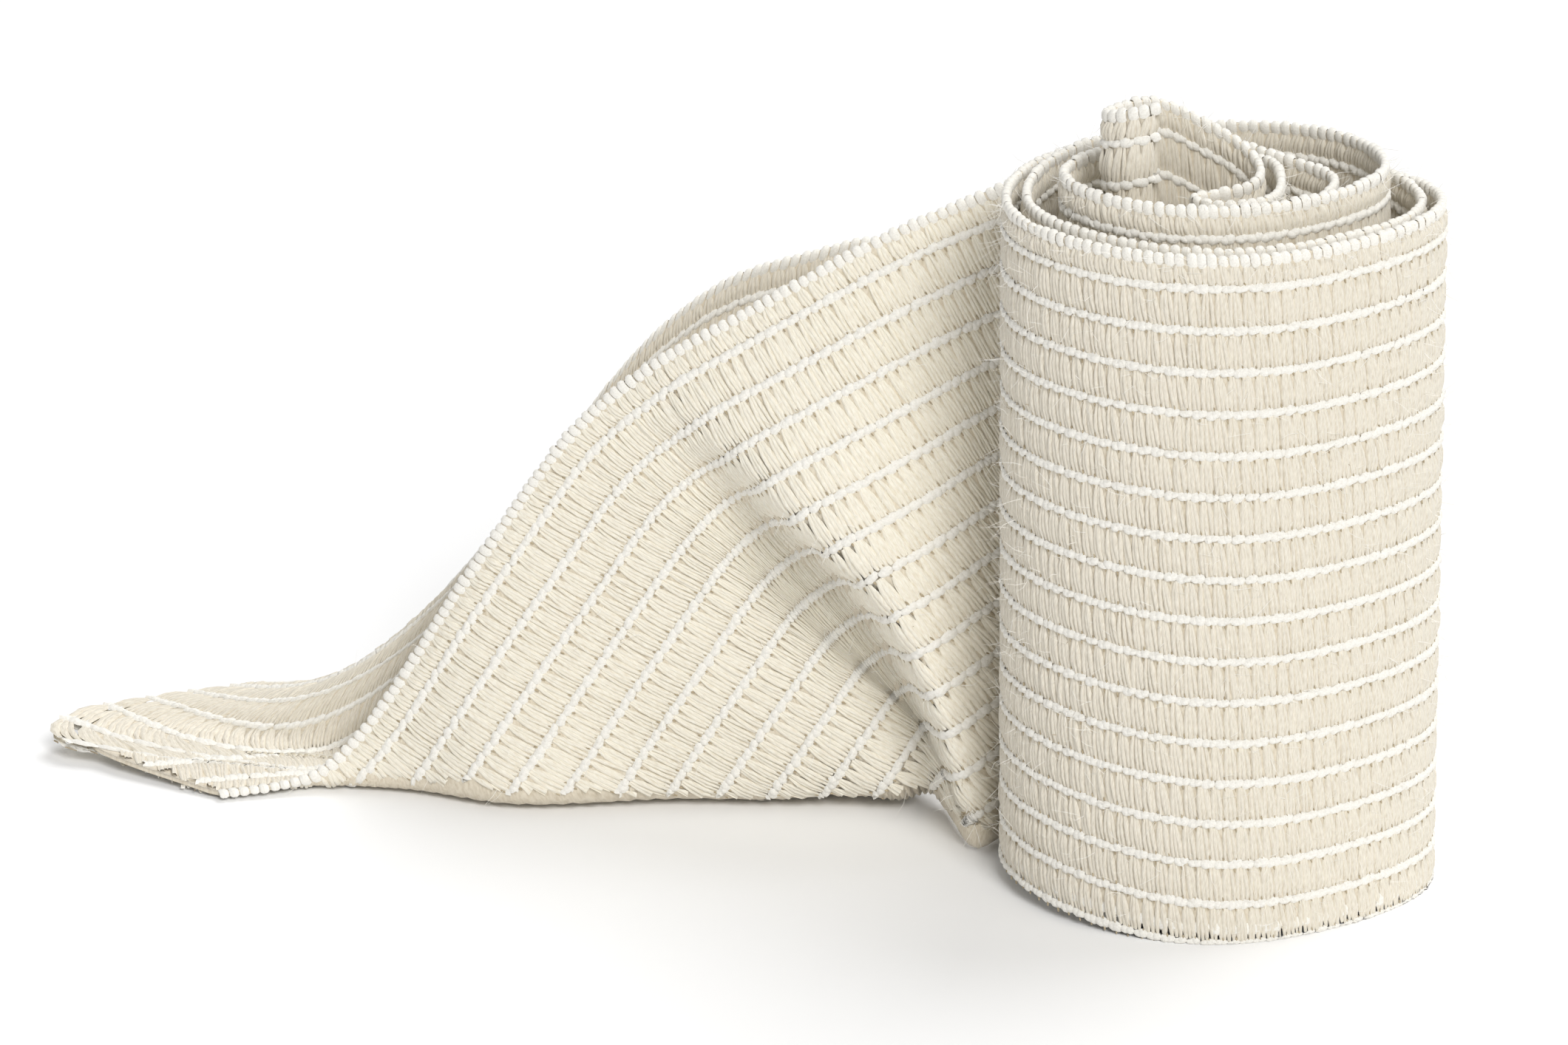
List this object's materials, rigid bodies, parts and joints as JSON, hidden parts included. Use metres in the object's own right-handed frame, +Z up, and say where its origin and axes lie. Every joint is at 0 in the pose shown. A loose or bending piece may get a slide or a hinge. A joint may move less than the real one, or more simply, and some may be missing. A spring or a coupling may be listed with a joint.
{
  "type": "elastic bandage roll",
  "caption": "Loosely wound roll of cream knitted elastic bandage, standing on one selvedge, with its loose end unrolled in a long folded tail.",
  "frame": {"origin": "centre of the footprint, on the surface that the roll stands on", "axes": "+Z up along the axis of the roll, +X from the loose end towards the roll, +Y towards the back"},
  "size_m": [0.1518, 0.0642, 0.0932],
  "materials": {
    "cotton_knit": "matte"
  },
  "bodies": {
    "root": {"bandage": "cotton_knit"}
  },
  "joints": []
}
